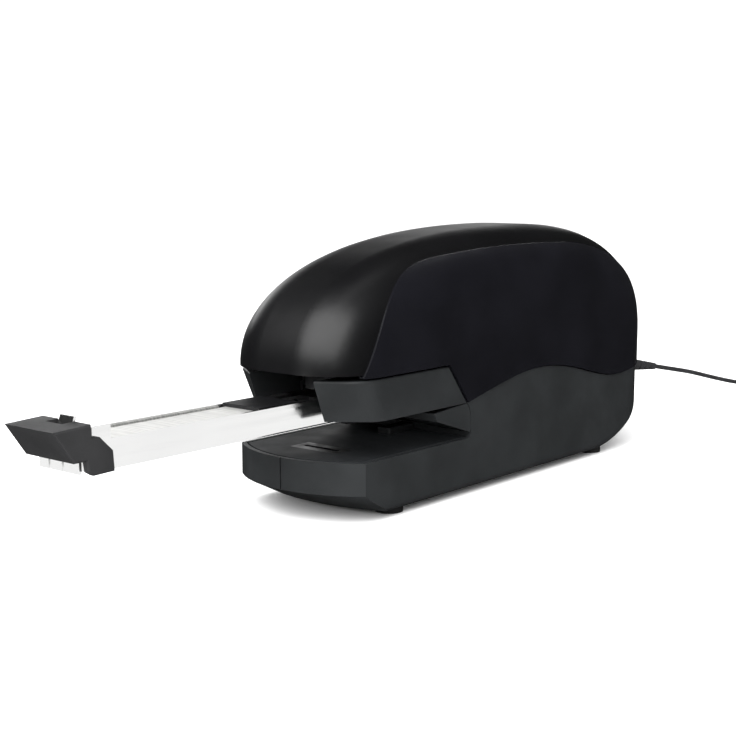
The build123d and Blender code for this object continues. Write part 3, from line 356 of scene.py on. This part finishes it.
def add_staples():
    """The stick of staples, one bent wire each, glued side by side."""
    low, high = (Vector(corner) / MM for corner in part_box("staple_strip"))
    half = high.x
    count = int((high.y - low.y) / STAPLE_PITCH)
    outer = [(-half, low.z), (-half, high.z - BEND), (-half + BEND_CUT, high.z - BEND_CUT),
             (-half + BEND, high.z)]
    inner = [(-half + WIRE_HEIGHT, low.z), (-half + WIRE_HEIGHT, high.z - INNER_BEND),
             (-half + INNER_BEND, high.z - WIRE_HEIGHT)]
    outline = outer + [(-x, z) for x, z in reversed(outer)]
    outline += [(-x, z) for x, z in inner] + list(reversed(inner))
    shape = bmesh.new()
    for i in range(count):
        front = low.y + STAPLE_PITCH * i + (STAPLE_PITCH - STAPLE_WIRE) / 2
        ring = [shape.verts.new((x * MM, front * MM, z * MM)) for x, z in outline]
        face = shape.faces.new(ring)
        grown = bmesh.ops.extrude_face_region(shape, geom=[face])
        moved = [v for v in grown["geom"] if isinstance(v, bmesh.types.BMVert)]
        bmesh.ops.translate(shape, verts=moved, vec=(0, STAPLE_WIRE * MM, 0))
    bmesh.ops.recalc_face_normals(shape, faces=shape.faces)
    mesh = bpy.data.meshes.new("staples")
    shape.to_mesh(mesh)
    shape.free()
    staples = bpy.data.objects.new("staples", mesh)
    scene.collection.objects.link(staples)
    dress(staples, "staples", "drawer", "staple_strip")
    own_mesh(staples)


add_staples()

# ---------------------------------------------------------------- springs
DRIVER_SPRING_R, DRIVER_SPRING_WIRE_R, DRIVER_SPRING_TURNS = 2.2, 0.28, 9
DRIVER_SPRING_END = 0.3                 # from the end of its space to the wire's middle
PUSHER_SPRING_R, PUSHER_SPRING_WIRE_R, PUSHER_SPRING_TURNS = 1.5, 0.22, 22
PUSHER_SPRING_END = 0.25


def helix(centre, radius, start, end, turns, axis, closed=1.5, per_turn=14):
    """Points of a compression spring along Y or Z, with closed coils at both ends."""
    points = []
    steps = int(turns * per_turn)
    wire_rise = (end - start) / (turns * 3)
    for i in range(steps + 1):
        turn = i / per_turn
        lower, upper = min(turn, closed), max(0, turn - (turns - closed))
        open_share = (turn - lower - upper) / (turns - 2 * closed)
        travel = (lower + upper) * wire_rise
        along = start + travel + open_share * (end - start - 2 * closed * wire_rise)
        a, b = radius * cos(2 * pi * turn), radius * sin(2 * pi * turn)
        if axis == "Z":
            points.append((centre[0] + a, centre[1] + b, along))
        else:
            points.append((centre[0] + a, along, centre[1] + b))
    return points


def add_spring(name, points, wire_r, body, replaced):
    """A round wire along the points, in place of a CAD node."""
    curve = nurbs_cord(name, [Vector(p) * MM for p in points], wire_r * MM)
    spring = to_mesh(curve)
    dress(spring, "inner_steel", body, replaced)
    return spring


def add_springs():
    """Wound springs in place of the CAD's plain tubes."""
    low, high = (Vector(corner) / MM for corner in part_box("driver_spring"))
    middle = (low + high) / 2
    points = helix((middle.x, middle.y), DRIVER_SPRING_R, low.z + DRIVER_SPRING_END,
                   high.z - DRIVER_SPRING_END, DRIVER_SPRING_TURNS, "Z")
    driver_spring = add_spring("driver_spring_coils", points, DRIVER_SPRING_WIRE_R, "head",
                               "driver_spring")
    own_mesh(driver_spring)
    low, high = (Vector(corner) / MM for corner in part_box("pusher_spring"))
    middle = (low + high) / 2
    points = helix((middle.x, middle.z), PUSHER_SPRING_R, low.y + PUSHER_SPRING_END,
                   high.y - PUSHER_SPRING_END, PUSHER_SPRING_TURNS, "Y")
    add_spring("pusher_spring_coils", points, PUSHER_SPRING_WIRE_R, "drawer", "pusher_spring")


add_springs()

# ---------------------------------------------------------------- floor, world and lights
FLOOR_REACH = 6.0
WORLD_LEVEL = 1.12
WORLD_IN_GLOSS = 0.03
BRIGHT_STEEL = [nodes[n] for n in ("magazine_channel", "magazine_nose", "latch_lever",
                                   "adapter_pins")]
SIDE_PANELS = [nodes[n] for n in ("right_side_panel", "left_side_panel")]


def add_floor():
    """Wide pale floor that the gloss doesn't mirror and that lets the low steel card through."""
    mesh = bpy.data.meshes.new("floor")
    low, high = -FLOOR_REACH, FLOOR_REACH
    corners = [(low, low, 0), (high, low, 0), (high, high, 0), (low, high, 0)]
    mesh.from_pydata(corners, [], [(0, 1, 2, 3)])
    floor = bpy.data.objects.new("floor", mesh)
    scene.collection.objects.link(floor)
    made = Finish("floor", (0.93, 0.93, 0.93), 0.9, specular=0.0)
    made.vary_color(made.noise(6), (0.925, 0.925, 0.925), (0.935, 0.935, 0.935))
    mesh.materials.append(made.material)
    floor.visible_glossy = False
    floor.visible_shadow = False


def add_world():
    """White surroundings that light the object evenly, but look dark in its gloss."""
    world = bpy.data.worlds.new("studio")
    scene.world = world
    world.use_nodes = True
    tree = world.node_tree
    background = tree.nodes["Background"]
    background.inputs["Color"].default_value = (1, 1, 1, 1)
    ray = tree.nodes.new("ShaderNodeLightPath")
    level = tree.nodes.new("ShaderNodeMapRange")
    level.inputs["To Min"].default_value = WORLD_LEVEL
    level.inputs["To Max"].default_value = WORLD_IN_GLOSS
    tree.links.new(ray.outputs["Is Glossy Ray"], level.inputs["Value"])
    tree.links.new(level.outputs["Result"], background.inputs["Strength"])


def add_softbox(name, location, target, size, radiance, lit_only=()):
    """Rectangular area light aimed at a point; radiance is its brightness when looked at.
    With lit_only it lights just those objects, like a card held up for them."""
    data = bpy.data.lights.new(name, "AREA")
    data.shape = "RECTANGLE"
    data.size, data.size_y = size
    data.energy = radiance * pi * size[0] * size[1]
    light = bpy.data.objects.new(name, data)
    scene.collection.objects.link(light)
    light.location = location
    aim = Vector(target) - Vector(location)
    light.rotation_euler = aim.to_track_quat("-Z", "Y").to_euler()
    light.visible_camera = False
    if lit_only:
        receivers = bpy.data.collections.new(name + "_receivers")
        for piece in lit_only:
            receivers.objects.link(piece)
        light.light_linking.receiver_collection = receivers


add_floor()
add_world()
add_softbox("front_softbox", (0.16, -1.05, 1.08), (0, -0.05, 0.05), (2.2, 1.7), 4.5)
add_softbox("rear_left_card", (-1.2, 1.1, 0.34), (0, 0, 0.05), (1.4, 0.6), 0.9)
add_softbox("left_card", (-1.32, 0.43, 0.47), (0, 0, 0.05), (0.7, 0.3), 2.6)
add_softbox("top_softbox", (0.0, 0.1, 1.3), (0, 0, 0), (0.3, 0.8), 0.6)
add_softbox("steel_card", (0, 0, -0.06), (0, 0, 1), (4.0, 4.0), 0.94, BRIGHT_STEEL)
add_softbox("top_edge_card", (-0.45, 1.08, 0.93), (0, 0, 0.05), (0.7, 0.5), 18.0, SIDE_PANELS)
add_softbox("front_edge_card", (0.84, -0.92, 0.62), (0, 0, 0.05), (0.5, 0.5), 8.0, SIDE_PANELS)
add_softbox("throat_card", (0.5, -0.12, 0.105), (0, -0.05, 0.017), (0.4, 0.12), 36.0,
            [nodes["table_plate"]])
scene.view_settings.view_transform = "Standard"
